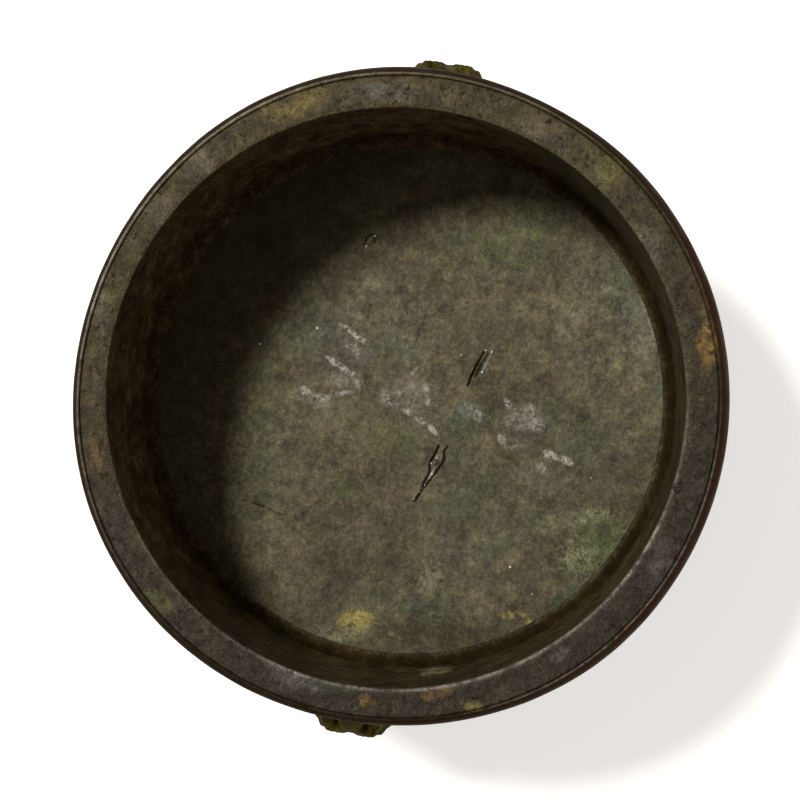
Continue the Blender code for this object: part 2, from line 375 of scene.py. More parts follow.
def ring_points(radius, height, count):
    """The points of one ring of the bowl, with the lip pushed in where it is dented."""
    if count == 1:
        return np.array([(0.0, 0.0, height)])
    angle = np.arange(count) * 2 * pi / count
    out = np.full(count, radius)
    if height > MOULDING_BOTTOM - 3 * COVE and radius > WALL_RADIUS:
        out_share = min(1, (radius - WALL_RADIUS) / (GROOVE_RADIUS - WALL_RADIUS))
        out = out - out_share * lip_dent(angle, min(1, (RIM_TOP - height) / MOULDING_CREST))
    return np.stack((out * np.cos(angle), out * np.sin(angle), np.full(count, height)), axis=1)


# Feet
FOOT_ANGLES = [radians(-90 + 120 * i) for i in range(3)]
FOOT_HEIGHT = 22.0 * MM
FOOT_WIDTH = 22.0 * MM
FOOT_DEPTH = 12.0 * MM
FOOT_INSET = 3.0 * MM
FOOT_RISE_ON_WALL = 10.0 * MM
FOOT_SQUARENESS = 3.0
FOOT_SECTIONS = ((0.00, 0.62, 0.92, 0.00), (0.09, 0.62, 0.92, 0.00), (0.20, 0.46, 0.70, -0.04),
                 (0.38, 0.44, 0.72, -0.04), (0.60, 0.78, 1.02, 0.16), (0.80, 1.00, 1.10, 0.26),
                 (0.93, 0.84, 0.90, 0.20), (1.00, 0.40, 0.44, 0.10))
WALL_MIDDLE = (MOUTH_RADIUS + WALL_RADIUS) / 2
FOOT_SEGMENTS = 64
FOOT_STEPS = 36


def squared_oval(angle, squareness):
    """The reach of a rounded square of half size 1 in a direction."""
    return (np.abs(np.cos(angle)) ** squareness + np.abs(np.sin(angle)) ** squareness) ** (-1 / squareness)


def foot_section(share):
    """Half width, half depth and outward swing of the foot at a share of its height."""
    for low, high in zip(FOOT_SECTIONS, FOOT_SECTIONS[1:]):
        if share <= high[0]:
            return [a + (b - a) * ease(share, low[0], high[0]) for a, b in zip(low[1:], high[1:])]
    return FOOT_SECTIONS[-1][1:]


def make_foot(angle, materials):
    """One foot, from the ground to where it fades into the wall."""
    total = FOOT_HEIGHT + FOOT_RISE_ON_WALL
    around = np.arange(FOOT_SEGMENTS) * 2 * pi / FOOT_SEGMENTS
    reach = squared_oval(around, FOOT_SQUARENESS)
    rings = []
    for step in range(FOOT_STEPS + 1):
        share = step / FOOT_STEPS
        wide, deep, swing = foot_section(share)
        height = total * share
        out = WALL_RADIUS - FOOT_INSET + swing * FOOT_DEPTH + reach * np.cos(around) * deep * FOOT_DEPTH / 2
        side = reach * np.sin(around) * wide * FOOT_WIDTH / 2
        if height > UNDERSIDE:
            out = np.maximum(out, np.sqrt(WALL_MIDDLE ** 2 - side ** 2))
        rings.append(np.stack((out * cos(angle) - side * sin(angle), out * sin(angle) + side * cos(angle),
                               np.full(FOOT_SEGMENTS, height)), axis=1))
    sole = rings[0].mean(axis=0, keepdims=True)
    top = rings[-1].mean(axis=0, keepdims=True)
    return ring_mesh("foot_shape", [sole] + rings + [top], [OUTSIDE] * (FOOT_STEPS + 2), materials)


def join_feet(piece, materials):
    """Joins the three feet to the bowl, as one casting."""
    feet = [make_foot(angle, materials) for angle in FOOT_ANGLES]
    for foot in feet:
        union = piece.modifiers.new("foot", "BOOLEAN")
        union.operation = "UNION"
        union.solver = "EXACT"
        union.object = foot
    graph = bpy.context.evaluated_depsgraph_get()
    mesh = bpy.data.meshes.new_from_object(piece.evaluated_get(graph))
    piece.modifiers.clear()
    piece.data = mesh
    for foot in feet:
        bpy.data.objects.remove(foot)


# Marks cut into the floor, by their place in the photograph: points, half width and height in millimetres
FLOOR_MARKS = (
    (((485, 350), (479, 361), (472, 375), (468, 386)), 0.21, -0.80),
    (((473, 368), (468, 378), (465, 385)), 0.16, 0.28),
    (((475, 376), (471, 384)), 0.14, 0.24),
    (((488, 354), (482, 364), (476, 376)), 0.60, -0.35),
    (((493, 351), (488, 361), (482, 373)), 0.34, 0.38),
    (((439, 446), (434, 456), (430, 463), (430, 472), (424, 483), (423, 489), (415, 501)), 0.20, -0.80),
    (((448, 446), (444, 452), (445, 459), (438, 470), (432, 478), (425, 487)), 0.19, -0.75),
    (((437, 456), (434, 463)), 0.34, 0.36),
    (((442, 455), (440, 461)), 0.28, 0.30),
    (((435, 467), (432, 474), (429, 479)), 0.50, 0.62),
    (((440, 463), (431, 468)), 0.16, -0.35),
    (((432, 455), (427, 464), (427, 472)), 0.18, 0.26),
    (((424, 477), (420, 485), (419, 490)), 0.18, 0.26),
    (((426, 484), (423, 489)), 0.26, 0.34),
    (((419, 492), (412, 500)), 0.20, 0.34),
    (((365, 246), (366, 238), (371, 234), (376, 236), (375, 243)), 0.22, -0.45),
    (((368, 243), (371, 239)), 0.42, 0.30),
    (((372, 237), (375, 235)), 0.24, 0.36),
    (((253, 503), (264, 507)), 0.22, -0.40),
    (((269, 509), (276, 513), (283, 515)), 0.20, -0.35),
    (((242, 500), (247, 501)), 0.20, -0.25),
)
# Painted highlights: small bright metal specks on the floor painted near white as glints, by pixel and strength
FLOOR_PAINTED_GLINTS = (
    ((510, 567), 1.0), ((317, 328), 1.0), ((485, 350), 0.8), ((492, 352), 0.6), ((482, 372), 0.8),
    ((461, 355), 0.3), ((532, 594), 0.3), ((591, 478), 0.3), ((260, 344), 0.8), ((437, 458), 0.6),
    ((432, 474), 0.8), ((431, 463), 0.4), ((425, 485), 0.5), ((420, 492), 0.5), ((414, 499), 0.4),
    ((375, 236), 1.0), ((366, 246), 0.8),
)
PAINTED_GLINT_PIXELS = 1.273
MARK_MARGIN = 1.1 * MM
LEVEL = 0.01 * MM

# Dents in the edges of the rim: pixel of the photograph, half width and depth in millimetres
RIM_NICKS = (((618, 590), 0.9, 0.9), ((343, 683), 0.7, 0.7), ((476, 681), 0.5, 0.5),
             ((586, 620), 0.7, 0.5), ((690, 540), 0.8, 0.5), ((380, 686), 0.8, 0.4),
             ((223, 165), 0.8, 0.5), ((150, 268), 0.9, 0.4), ((596, 150), 0.8, 0.4),
             ((505, 676), 0.6, 0.4), ((122, 330), 0.7, 0.3), ((657, 210), 0.7, 0.4))


def way_to_line(places, line):
    """How far each place, as x and y, is from a line through points."""
    nearest = np.full(len(places), np.inf)
    for start, end in zip(line, line[1:]):
        along = end - start
        share = np.clip((places - start) @ along / (along @ along), 0, 1)
        way = places - start - share[:, None] * along
        nearest = np.minimum(nearest, np.hypot(way[:, 0], way[:, 1]))
    return nearest


def floor_line(pixels):
    """Points of the photograph as points of the floor."""
    return [photo_place(pixel, FLOOR_TOP) for pixel in pixels]


def refine_marks(mesh):
    """Draws the floor more finely round the marks cut into it."""
    form = bmesh.new()
    form.from_mesh(mesh)
    middles = np.array([face.calc_center_median() for face in form.faces])
    on_floor = np.abs(middles[:, 2] - FLOOR_TOP) < LEVEL
    near = np.zeros(len(middles), bool)
    for pixels, half_width, _ in FLOOR_MARKS:
        way = way_to_line(middles[:, :2], floor_line(pixels))
        near |= on_floor & (way < half_width * MM + MARK_MARGIN)
    form.faces.ensure_lookup_table()
    edges = {edge for i in np.flatnonzero(near) for edge in form.faces[i].edges}
    bmesh.ops.subdivide_edges(form, edges=list(edges), cuts=3, use_grid_fill=True)
    form.to_mesh(mesh)
    form.free()


def floor_relief(places):
    """Height of the marks on the floor at places given as x and y."""
    total = 0.0
    for pixels, half_width, height in FLOOR_MARKS:
        total = total + height * MM * hill(way_to_line(places, floor_line(pixels)), half_width * MM)
    return total


# How far the lip's line and the mouth's edge are rubbed bare or dirty, by angle in the photograph in degrees.
# The bareness is set highest where the key light glints on them, so it is partly painted highlight
LIP_WEAR_AND_HIGHLIGHT = ((0, 0.10), (50, 0.10), (85, 0.35), (110, 0.9), (150, 1.0), (175, 0.6), (205, 0.15), (230, 0.05),
             (280, 0.05), (300, 0.45), (335, 0.45))
LIP_GRIME = ((200, 0.0), (230, 0.8), (285, 0.8), (300, 0.2), (340, 0.2), (0, 0.5), (40, 0.5), (70, 0.0))
MOUTH_WEAR_AND_HIGHLIGHT = ((0, 0.20), (40, 0.08), (200, 0.08), (235, 0.5), (300, 1.0), (335, 1.0))


def around(angle, table):
    """The values at angles about the bowl's axis from a table by angle in the photograph."""
    turns, values = zip(*table)
    return np.interp(np.degrees(angle + BOWL_TURN), turns, values, period=360)


def set_values(mesh, name, values):
    """Keeps one value for each point of a mesh, for its materials to read."""
    mesh.attributes.new(name, "FLOAT", "POINT").data.foreach_set("value", values.astype(np.float32))


# Uneven casting, as noise: size of its lumps, seed and height
CAST_SWELLS = (26 * MM, 11, 0.16 * MM)
CAST_GRAIN = (5 * MM, 21, 0.045 * MM)
FLOOR_SAG = (34 * MM, 31, 0.35 * MM)
MOUTH_WOBBLE = (9 * MM, 41, 0.15 * MM)
FOOT_FADE = 6 * MM
SAG_FROM_WALL = (4 * MM, 14 * MM)

# Worn edges: the heights where the rim's edges begin, how wide they are, how far the line's bare top is shifted
# by the key light's side as a painted highlight, and the heights of burrs
EDGE_HEIGHTS = (RIM_TOP - 1.5 * MM, RIM_TOP - 0.3 * MM)
MOUTH_EDGE_RADIUS = MOUTH_RADIUS + 0.3 * MM
MOUTH_EDGE_WIDTH = 0.45 * MM
MOUTH_ROUNDING_WIDTH = 0.9 * MM
LINE_WIDTH = 0.4 * MM
LINE_TOP_WIDTH = 0.20 * MM
LINE_HIGHLIGHT_SHIFT = 0.12 * MM
BURR_HEIGHTS = (0.12 * MM, 0.40 * MM)

# Where dirt holds: the groove, the corner of the floor, the cove under the moulding and the cuts. The corner is
# made weaker where the wall's shadow falls, which is painted light
GROOVE_MIDDLE = GROOVE_RADIUS + GROOVE_WIDTH / 2
GROOVE_DIRT_WIDTH = 0.25 * MM
CORNER_DIRT_RADII = (MOUTH_RADIUS - 3.2 * MM, MOUTH_RADIUS - 0.8 * MM)
CORNER_DIRT_HEIGHT = 3.2 * MM
COVE_DIRT_HEIGHT = 1.2 * MM
CUT_DEPTHS = (0.10 * MM, 0.45 * MM)


class BowlPoints:
    """The points of the bowl's mesh before they are moved, and how near each is to its edges."""

    def __init__(self, mesh):
        self.start = points_of(mesh)
        self.height = self.start[:, 2]
        self.radius = np.hypot(self.start[:, 0], self.start[:, 1])
        self.angle = np.arctan2(self.start[:, 1], self.start[:, 0])
        self.undented = self.radius + lip_dent(self.angle, 0.0)
        self.to_light = np.cos(self.angle - KEY_AZIMUTH)
        self.near_top = ease(self.height, *EDGE_HEIGHTS)
        self.mouth_edge = hill(self.radius - MOUTH_EDGE_RADIUS, MOUTH_EDGE_WIDTH) * self.near_top
        self.line = hill(self.undented - LINE_MIDDLE, LINE_WIDTH) * self.near_top
        self.on_floor = (np.abs(self.height - FLOOR_TOP) < LEVEL) & (self.radius < MOUTH_RADIUS)
        self.relief = np.where(self.on_floor, floor_relief(self.start[:, :2]), 0)

    def lumpy(self, size, seed, height):
        """Noise at the points with lumps of a size and height."""
        return rough(self.start, size, seed) * height


def cast_bowl(mesh, bowl):
    """Moves the points for uneven casting, cut marks, rounded edges and nicks."""
    places = bowl.start.copy()
    out = np.stack((np.cos(bowl.angle), np.sin(bowl.angle), np.zeros(len(places))), axis=1)
    uneven = bowl.lumpy(*CAST_SWELLS) + bowl.lumpy(*CAST_GRAIN)
    places += normals_of(mesh) * (uneven * ease(bowl.height, 0, FOOT_FADE))[:, None]
    places += out * (bowl.mouth_edge * bowl.lumpy(*MOUTH_WOBBLE))[:, None]
    sag = bowl.lumpy(*FLOOR_SAG) * ease(MOUTH_RADIUS - bowl.radius, *SAG_FROM_WALL)
    places[:, 2] += bowl.relief + np.where(bowl.on_floor, sag, 0)
    rounding = hill(bowl.radius - MOUTH_RADIUS, MOUTH_ROUNDING_WIDTH) * bowl.near_top
    places[:, 2] -= rounding * (0.32 * MM + bowl.lumpy(6 * MM, 55, 0.10 * MM))
    places[:, 2] += bowl.line * (0.11 * MM + bowl.lumpy(24 * MM, 51, 0.05 * MM))
    for pixel, half_width, depth in RIM_NICKS:
        way = bowl.start - np.append(photo_place(pixel, RIM_TOP), RIM_TOP)
        places[:, 2] -= depth * MM * hill(np.linalg.norm(way, axis=1), half_width * MM)
    move_points(mesh, places)


def bowl_bareness_and_highlight(bowl):
    """How far each point is rubbed bare: the mouth's edge and the lip's line, which are partly painted
    highlight where the key light glints, and the burrs of marks.
    """
    # The edges' bareness is heaped where the key light glints on them: wear and painted highlight.
    edge_wear_and_highlight = (0.75 + bowl.lumpy(5 * MM, 57, 0.6)) * around(bowl.angle, MOUTH_WEAR_AND_HIGHLIGHT)
    line_top = hill(bowl.undented - LINE_MIDDLE - LINE_HIGHLIGHT_SHIFT * bowl.to_light, LINE_TOP_WIDTH)
    line_wear_and_highlight = line_top * bowl.near_top * around(bowl.angle, LIP_WEAR_AND_HIGHLIGHT)
    bare_and_highlight = np.maximum.reduce((bowl.mouth_edge * edge_wear_and_highlight, line_wear_and_highlight, ease(bowl.relief, *BURR_HEIGHTS)))
    return np.clip(bare_and_highlight * (0.7 + bowl.lumpy(9 * MM, 61, 0.5)), 0, 1)


def bowl_dirt_and_shade(bowl):
    """How much dirt each point holds: the groove, the lip, the corner of the floor, the cove and the cuts. The
    corner's strength by the key light's side is painted light.
    """
    groove = hill(bowl.undented - GROOVE_MIDDLE, GROOVE_DIRT_WIDTH) * bowl.near_top
    corner = ease(bowl.radius, *CORNER_DIRT_RADII) * hill(bowl.height - FLOOR_TOP, CORNER_DIRT_HEIGHT)
    # Painted light: the corner's darkening is full on the lit side and weak where the wall's shadow falls.
    corner = corner * (bowl.radius < MOUTH_RADIUS + MM / 10) * (0.62 - 0.38 * bowl.to_light)
    cove = hill(bowl.height - MOULDING_BOTTOM + COVE, COVE_DIRT_HEIGHT) * (bowl.radius > WALL_RADIUS - MM)
    grime = bowl.line * around(bowl.angle, LIP_GRIME)
    cut = ease(-bowl.relief, *CUT_DEPTHS)
    return np.clip(np.maximum.reduce((groove * 0.7, grime, corner, cove * 0.8, cut)), 0, 1)


def make_bowl(materials):
    """The bowl with its feet, as one closed casting."""
    rings = bowl_rings()
    places = [ring_points(*ring[:3]) for ring in rings]
    bowl = ring_mesh("bowl_body", places, [ring[3] for ring in rings[:-1]], materials)
    refine_marks(bowl.data)
    join_feet(bowl, materials)
    points = BowlPoints(bowl.data)
    cast_bowl(bowl.data, points)
    set_values(bowl.data, "bare_and_highlight", bowl_bareness_and_highlight(points))
    set_values(bowl.data, "dirt_and_shade", bowl_dirt_and_shade(points))
    shade_smooth(bowl.data, radians(50))
    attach(bowl, "root")
    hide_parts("bowl")


# Lion masks, measured from the middle of each: u across and v up, both from -1 to 1
MASK_HEIGHT = 30.0 * MM
MASK_WIDTH = 27.0 * MM
MASK_RISE = 8.8 * MM
MASK_EDGE = 1.0 * MM
MASK_GAP = 0.3 * MM
MASK_BELOW_MOULDING = 0.8 * MM
MASK_LOCKS = 12
MANE_PLACE = 0.87
MANE_CURL = 6.0
MASK_SCALLOP = 0.07
MASK_SQUARENESS = 2.2
MASK_TAPER = 0.12
MASK_FULLNESS = 4.2
MASK_EDGE_FADE = 0.12
MASK_MIDDLE = MOULDING_BOTTOM - MASK_BELOW_MOULDING - MASK_HEIGHT / 2
MASK_RINGS = 110
MASK_SEGMENTS = 384


def stroke(u, v, line, size):
    """A ridge of height 1 along a line through points."""
    return hill(way_to_line(np.stack((u, v), axis=1), [np.array(point) for point in line]), size)


def lion_face(u, v):
    """Relief of the face as a share of the mask's rise."""
    side = np.abs(u)
    ears = 0.18 * hill(np.hypot(side - 0.56, v - 0.56), 0.21)
    ears = ears - 0.12 * hill(np.hypot(side - 0.58, v - 0.54), 0.09)
    forehead_grooves = -0.19 * stroke(side, v, ((0.33, 0.95), (0.29, 0.50)), 0.08)
    forehead_edges = 0.05 * stroke(side, v, ((0.18, 0.95), (0.14, 0.50)), 0.07)
    forehead = 0.07 * hill(np.hypot(side, v - 0.38), 0.22)
    brow_line = ((0.17, 0.20), (0.27, 0.33), (0.42, 0.38), (0.60, 0.28), (0.66, 0.14))
    brows = 0.24 * stroke(side, v, brow_line, 0.10) * (0.7 + 0.3 * ease(0.70 - side, 0.0, 0.42))
    sockets = -0.20 * hill(np.hypot(side - 0.36, v - 0.06), 0.22)
    eyes = 0.36 * hill(np.hypot(side - 0.36, v - 0.07), 0.14)
    bridge = 0.11 * stroke(side, v, ((0.0, 0.22), (0.0, -0.12)), 0.10)
    nose = 0.19 * hill(np.hypot(side / 1.3, v + 0.20), 0.16)
    nose = nose + 0.15 * hill(np.hypot(side - 0.19, v + 0.23), 0.09)
    muzzle = 0.20 * hill(np.hypot(side - 0.21, v + 0.44), 0.17)
    mouth = -0.28 * stroke(side, v, ((0.0, -0.61), (0.24, -0.63), (0.48, -0.46), (0.53, -0.34)), 0.075)
    lip = 0.15 * stroke(side, v, ((0.0, -0.77), (0.20, -0.75)), 0.09)
    cheeks = 0.12 * hill(np.hypot(side - 0.64, v + 0.12), 0.15)
    cheeks = cheeks + 0.18 * hill(np.hypot(side - 0.66, v - 0.24), 0.20)
    return (ears + forehead_grooves + forehead_edges + forehead + brows + sockets + eyes + bridge + nose
            + muzzle + mouth + lip + cheeks)


def lion_details(u, v):
    """Fine relief of the face: eyelids, pupils, nostrils, whisker pits, teeth and hair."""
    side = np.abs(u)
    pupils = -0.09 * hill(np.hypot(side - 0.37, v - 0.06), 0.045)
    lids = 0.05 * hill(np.abs(np.hypot(side - 0.36, (v - 0.07) * 1.15) - 0.17), 0.03)
    nostrils = -0.10 * hill(np.hypot(side - 0.12, v + 0.28), 0.045)
    lip_split = -0.07 * stroke(side, v, ((0.0, -0.32), (0.0, -0.55)), 0.03)
    whiskers = 0.0
    for row in range(3):
        for column in range(3):
            spot = np.hypot(side - 0.17 - 0.09 * column, v + 0.37 + 0.075 * row + 0.02 * column)
            whiskers = whiskers - 0.035 * hill(spot, 0.02)
    in_mouth = hill(v + 0.62 - 0.25 * ease(side, 0.2, 0.5), 0.05) * ease(0.46 - side, 0, 0.08)
    teeth = in_mouth * (0.03 * np.clip(np.cos(side * 2 * pi / 0.10), 0, 1) + 0.14 * hill(side - 0.30, 0.045))
    hairs = -0.012 * stroke(side, v, ((0.20, 0.36), (0.42, 0.41), (0.62, 0.30)), 0.07) * np.cos(side * 60)
    wrinkles = -0.010 * hill(v - 0.12, 0.12) * hill(side - 0.12, 0.05) * np.cos(v * 70)
    return pupils + lids + nostrils + lip_split + whiskers + teeth + hairs + wrinkles


def mane(u, v, share):
    """Relief of the locks round the face."""
    from_crown = np.arctan2(np.abs(u), v)
    swirl = MASK_LOCKS * from_crown + MANE_CURL * (share - MANE_PLACE)
    band = hill(share - MANE_PLACE, 0.13)
    crown = 1 - ease(from_crown, 0.45, 0.95)
    folds = 0.05 * hill(np.abs(u) - 0.24, 0.04) - 0.05 * hill(np.abs(u) - 0.34, 0.05)
    groove = (1 - hill(from_crown, 0.7)) * hill(share - MANE_PLACE + 0.15, 0.06)
    curls = 0.13 * (1 - crown) * np.cos(swirl) * band
    return crown * folds * ease(v, 0.4, 0.7) - curls - 0.10 * groove


def mask_outline(angle):
    """Reach of the scalloped outline in a direction from the middle, from 0 to 1."""
    scallop = 1 - MASK_SCALLOP * (1 + np.cos(MASK_LOCKS * angle)) / 2
    return squared_oval(angle, MASK_SQUARENESS) * scallop


def mask_ring(share, count, depth=None):
    """Points of the mask at a share of its outline, on its front or at a depth between back and edge."""
    angle = np.arange(count) * 2 * pi / count
    reach = mask_outline(angle) * share
    u, v = reach * np.sin(angle), reach * np.cos(angle)
    across = u * MASK_WIDTH / 2 * (1 - MASK_TAPER * (1 - v) / 2)
    back = WALL_RADIUS + MASK_GAP
    if depth is None:
        fade = min(1, (1 - share) / MASK_EDGE_FADE)
        carving = lion_face(u, v) + lion_details(u, v) + mane(u, v, share)
        rise = MASK_EDGE + (MASK_RISE - MASK_EDGE) * (1 - share ** MASK_FULLNESS + carving * fade)
    else:
        rise = np.full(count, depth)
    turn = across / back
    height = MASK_MIDDLE + v * MASK_HEIGHT / 2
    return np.stack((back * np.cos(turn) + rise, back * np.sin(turn), height), axis=1)


def make_mask(name, node, turn, material):
    """One lion mask, turned about the bowl's axis."""
    rings = [mask_ring(0, 1)]
    for step in range(1, MASK_RINGS + 1):
        share = step / MASK_RINGS
        count = MASK_SEGMENTS
        while count > 24 and share * MASK_SEGMENTS < count / 2:
            count //= 2
        rings.append(mask_ring(share, count))
    rings += [mask_ring(1.0, MASK_SEGMENTS, MASK_EDGE / 2), mask_ring(1.0, MASK_SEGMENTS, 0.0)]
    rings += [mask_ring(share, count, 0.0) for share, count in ((0.85, 192), (0.6, 96), (0.3, 48), (0, 1))]
    mask = ring_mesh(name, rings, [0] * (len(rings) - 1), [material])
    mesh = mask.data
    places = points_of(mesh)
    back = WALL_RADIUS + MASK_GAP
    front = ease(np.hypot(places[:, 0], places[:, 1]), back, back + MASK_EDGE)
    carved = places[:, 0] - smoothed(mesh, places[:, 0], 14)
    uneven = rough(places + turn, 4 * MM, 71) * 0.05 * MM + rough(places + turn, 1.4 * MM, 81) * 0.02 * MM
    places += normals_of(mesh) * (uneven * front)[:, None]
    # Light on the carving's ridges and dark in its hollows: rubbed brass and dirt, and also painted highlight
    # and painted shade that bring out the relief.
    set_values(mesh, "bare_and_highlight", 0.8 * ease(carved, 0.06 * MM, 0.32 * MM) * front)
    set_values(mesh, "dirt_and_shade", ease(-carved, 0.0, 0.22 * MM))
    move_points(mesh, places @ np.array(Matrix.Rotation(turn, 3, "Z")).T)
    shade_smooth(mesh, radians(60))
    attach(mask, "root")
    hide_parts(node)


def smoothed(mesh, values, rounds):
    """Values at a mesh's points, each averaged with its neighbours a number of times."""
    ends = np.empty(len(mesh.edges) * 2, dtype=np.int32)
    mesh.edges.foreach_get("vertices", ends)
    a, b = ends[0::2], ends[1::2]
    neighbours = np.bincount(ends, minlength=len(values))
    for _ in range(rounds):
        total = np.bincount(a, values[b], len(values)) + np.bincount(b, values[a], len(values))
        values = (values + total) / (1 + neighbours)
    return values


# Paint: colours are linear, lengths in the materials are millimetres
OLIVE = (0.108, 0.091, 0.050, 1)
BROWN = (0.070, 0.055, 0.033, 1)
GREY_GREEN = (0.080, 0.079, 0.042, 1)
TEAL = (0.058, 0.082, 0.054, 1)
BUFF = (0.200, 0.180, 0.105, 1)
SOOT = (0.015, 0.010, 0.004, 1)
PLUM = (0.030, 0.020, 0.017, 1)
RUST = (0.050, 0.026, 0.012, 1)
GREEN = (0.080, 0.100, 0.030, 1)
YELLOW = (0.270, 0.220, 0.060, 1)
GOLD = (0.200, 0.120, 0.030, 1)
CHALK = (0.500, 0.490, 0.440, 1)
RIM_OLIVE = (0.066, 0.052, 0.022, 1)
RIM_BROWN = (0.023, 0.016, 0.009, 1)
WALL_BROWN = (0.030, 0.019, 0.006, 1)
WALL_OLIVE = (0.040, 0.031, 0.010, 1)
BARE_BRONZE = (0.400, 0.365, 0.310, 1)
BARE_BRASS = (0.240, 0.182, 0.045, 1)
MASK_OLIVE = (0.074, 0.058, 0.009, 1)
MASK_DARK = (0.014, 0.011, 0.004, 1)
MASK_GREEN = (0.048, 0.050, 0.006, 1)
LIP_DARK_AND_SHADE = (0.017, 0.010, 0.004, 1)
OUTER_BROWN = (0.042, 0.028, 0.015, 1)
LIP_RUST = (0.034, 0.013, 0.005, 1)
# The lighter brown painted on the shadowed side of the inside wall, as painted light
SHADE_BROWN = (0.140, 0.100, 0.050, 1)
LICHEN = (0.250, 0.275, 0.150, 1)
FLOOR_DARK = (0.040, 0.032, 0.013, 1)
FLECK = (0.200, 0.190, 0.105, 1)
PINK = (0.130, 0.108, 0.082, 1)
STEEL_GREY = (0.150, 0.165, 0.160, 1)
LILAC = (0.095, 0.084, 0.076, 1)
# The near-white colour of the painted glints
PAINTED_GLINT_WHITE = (0.900, 0.850, 0.700, 1)

# How strongly each surface mirrors light where it isn't bare metal
FLOOR_SPECULAR = 0.22
WALL_SPECULAR = 0.08
RIM_SPECULAR = 0.26
OUTER_SPECULAR = 0.03
MASK_SPECULAR = 0.01

# Broken-up stains are laid on this much stronger, for what the breaks take away
STAIN_BOOST = 1.3


